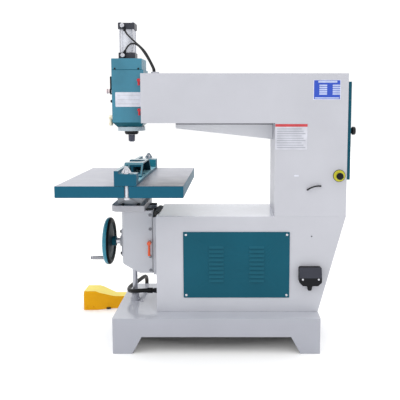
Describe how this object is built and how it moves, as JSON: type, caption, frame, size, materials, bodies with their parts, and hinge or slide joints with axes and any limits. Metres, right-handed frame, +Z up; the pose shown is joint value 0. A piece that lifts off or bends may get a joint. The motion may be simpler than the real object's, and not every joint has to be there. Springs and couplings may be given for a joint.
{
  "type": "overarm router",
  "caption": "Floor-standing overarm router: a C-shaped frame carries a motor head that an air cylinder lowers over a fenced table, which a handwheel lifts on a dovetail knee.",
  "frame": {"origin": "on the floor, at the centre of the rectangle of the base's four anchor bolts", "axes": "+X from the operator's side towards the column, +Y across the machine, away from the viewer of the picture, +Z up along the spindle"},
  "size_m": [1.394, 0.785, 1.513],
  "materials": {
    "frame_paint": "satin",
    "teal_paint": "satin",
    "teal_cast": "satin",
    "black_steel": "satin",
    "bright_steel": "brushed",
    "grey_cast": "satin",
    "gear_steel": "satin",
    "black_plastic": "matte",
    "yellow_plastic": "matte",
    "aluminium": "brushed",
    "black_aluminium": "satin",
    "brass": "satin",
    "red_paint": "gloss",
    "orange_paint": "gloss",
    "yellow_alloy": "satin",
    "dark_alloy": "matte",
    "hose_rubber": "satin"
  },
  "bodies": {
    "frame": {"base_frame": "frame_paint", "pedestal": "frame_paint", "overarm": "frame_paint", "arm_gusset": "frame_paint", "vent_panel": "teal_paint", "door_hinges": "black_steel", "inverter_drive": "black_plastic", "terminal_box": "black_plastic", "terminal_box_lid": "black_plastic", "cable_glands": "black_plastic", "stop_ring": "yellow_plastic", "head_casing": "teal_paint", "head_bottom_ring": "frame_paint", "head_top_cover": "teal_paint", "cylinder_end_caps": "black_aluminium", "cylinder_barrel": "aluminium", "cylinder_tie_rods": "bright_steel", "air_fittings": "bright_steel", "switch_box": "black_plastic", "blow_nozzle": "brass", "vertical_way": "grey_cast", "elevating_nut": "grey_cast", "pedal_guard": "yellow_alloy", "hose_upper": "hose_rubber", "hose_lower": "hose_rubber", "pedal_conduit": "hose_rubber"},
    "door": {"cabinet_door": "teal_paint"},
    "latch": {"door_latch": "black_steel"},
    "stop_push": {"stop_button": "black_plastic"},
    "start_push": {"start_button": "black_plastic"},
    "jog_push": {"jog_button": "black_plastic"},
    "clamp_upper": {"head_clamp_upper": "red_paint"},
    "clamp_lower": {"head_clamp_lower": "red_paint"},
    "quill": {"quill_sleeve": "bright_steel", "quill_cap": "bright_steel", "motor_stator": "bright_steel", "spindle_bearings": "bright_steel", "spindle_nose_cap": "black_steel", "cylinder_piston": "bright_steel"},
    "spindle": {"spindle_shaft": "bright_steel", "collet_nut": "bright_steel", "collet": "bright_steel"},
    "knee": {"knee_body": "grey_cast", "way_gib": "gear_steel", "knee_top_plate": "frame_paint", "table_saddle": "grey_cast", "work_table": "teal_cast", "fence_studs": "bright_steel", "bearing_cover": "grey_cast"},
    "wheel": {"handwheel": "teal_paint", "pinion_shaft": "bright_steel", "crank_pin": "bright_steel"},
    "crank": {"crank_handle": "bright_steel"},
    "screw": {"elevating_screw": "bright_steel", "bevel_gear": "gear_steel"},
    "knee_lock": {"knee_lock_lever": "orange_paint"},
    "fence": {"fence_body": "teal_cast"},
    "wing_near": {"fence_wing_near": "bright_steel"},
    "wing_far": {"fence_wing_far": "bright_steel"},
    "pedal": {"pedal_tread": "dark_alloy"}
  },
  "joints": [
    {"name": "door_hinge", "type": "hinge", "parent": "frame", "child": "door", "pos_m": [0.6063, 0.1493, 1.0125], "axis": [0, 0, 1], "range_deg": [0, 110]},
    {"name": "door_latch_turn", "type": "hinge", "parent": "door", "child": "latch", "pos_m": [0.617, -0.098, 1.0125], "axis": [1, 0, 0], "range_deg": [0, 90]},
    {"name": "stop_button_push", "type": "slide", "parent": "frame", "child": "stop_push", "axis": [0, 1, 0], "range_m": [0, 0.006], "stiffness_N_per_m": 500, "springref_m": -0.004},
    {"name": "start_button_push", "type": "slide", "parent": "frame", "child": "start_push", "axis": [1, 0, 0], "range_m": [0, 0.004], "stiffness_N_per_m": 400, "springref_m": -0.003},
    {"name": "jog_button_push", "type": "slide", "parent": "frame", "child": "jog_push", "axis": [1, 0, 0], "range_m": [0, 0.004], "stiffness_N_per_m": 400, "springref_m": -0.003},
    {"name": "head_clamp_upper_turn", "type": "hinge", "parent": "frame", "child": "clamp_upper", "pos_m": [-0.361, -0.0823, 1.246], "axis": [0, 1, 0], "range_deg": [0, 60]},
    {"name": "head_clamp_lower_turn", "type": "hinge", "parent": "frame", "child": "clamp_lower", "pos_m": [-0.361, -0.0823, 1.108], "axis": [0, 1, 0], "range_deg": [0, 60]},
    {"name": "quill_stroke", "type": "slide", "parent": "frame", "child": "quill", "axis": [0, 0, -1], "range_m": [0, 0.08], "stiffness_N_per_m": 2000, "springref_m": -0.15},
    {"name": "spindle_spin", "type": "hinge", "parent": "quill", "child": "spindle", "pos_m": [-0.413, 0, 0.95], "axis": [0, 0, 1], "continuous": true},
    {"name": "knee_lift", "type": "slide", "parent": "frame", "child": "knee", "axis": [0, 0, 1], "range_m": [-0.06, 0.06]},
    {"name": "handwheel_turn", "type": "hinge", "parent": "knee", "child": "wheel", "pos_m": [-0.5323, 0, 0.466], "axis": [1, 0, 0], "range_deg": [-3600, 3600]},
    {"name": "crank_handle_spin", "type": "hinge", "parent": "wheel", "child": "crank", "pos_m": [-0.59, 0.02865, 0.37228], "axis": [1, 0, 0], "continuous": true},
    {"name": "screw_turn", "type": "hinge", "parent": "knee", "child": "screw", "pos_m": [-0.41, 0, 0.4], "axis": [0, 0, 1], "range_deg": [-3600, 3600]},
    {"name": "knee_lock_turn", "type": "hinge", "parent": "knee", "child": "knee_lock", "pos_m": [-0.3223, -0.1, 0.479], "axis": [0, 1, 0], "range_deg": [0, 70]},
    {"name": "fence_slide", "type": "slide", "parent": "knee", "child": "fence", "axis": [-1, 0, 0], "range_m": [0, 0.025]},
    {"name": "fence_wing_near_turn", "type": "hinge", "parent": "knee", "child": "wing_near", "pos_m": [-0.381, -0.336, 0.85], "axis": [0, 0, 1], "range_deg": [-180, 180]},
    {"name": "fence_wing_far_turn", "type": "hinge", "parent": "knee", "child": "wing_far", "pos_m": [-0.381, 0.336, 0.85], "axis": [0, 0, 1], "range_deg": [-180, 180]},
    {"name": "pedal_press", "type": "hinge", "parent": "frame", "child": "pedal", "pos_m": [-0.541, 0.37, 0.016], "axis": [0, -1, 0], "range_deg": [0, 6], "stiffness_Nm_per_rad": 8, "springref_deg": -11.46}
  ],
  "couplings": [
    {"joint": "knee_lift", "follows": "handwheel_turn", "m_per_rad": 0.0009549},
    {"joint": "screw_turn", "follows": "handwheel_turn", "ratio": -1}
  ]
}
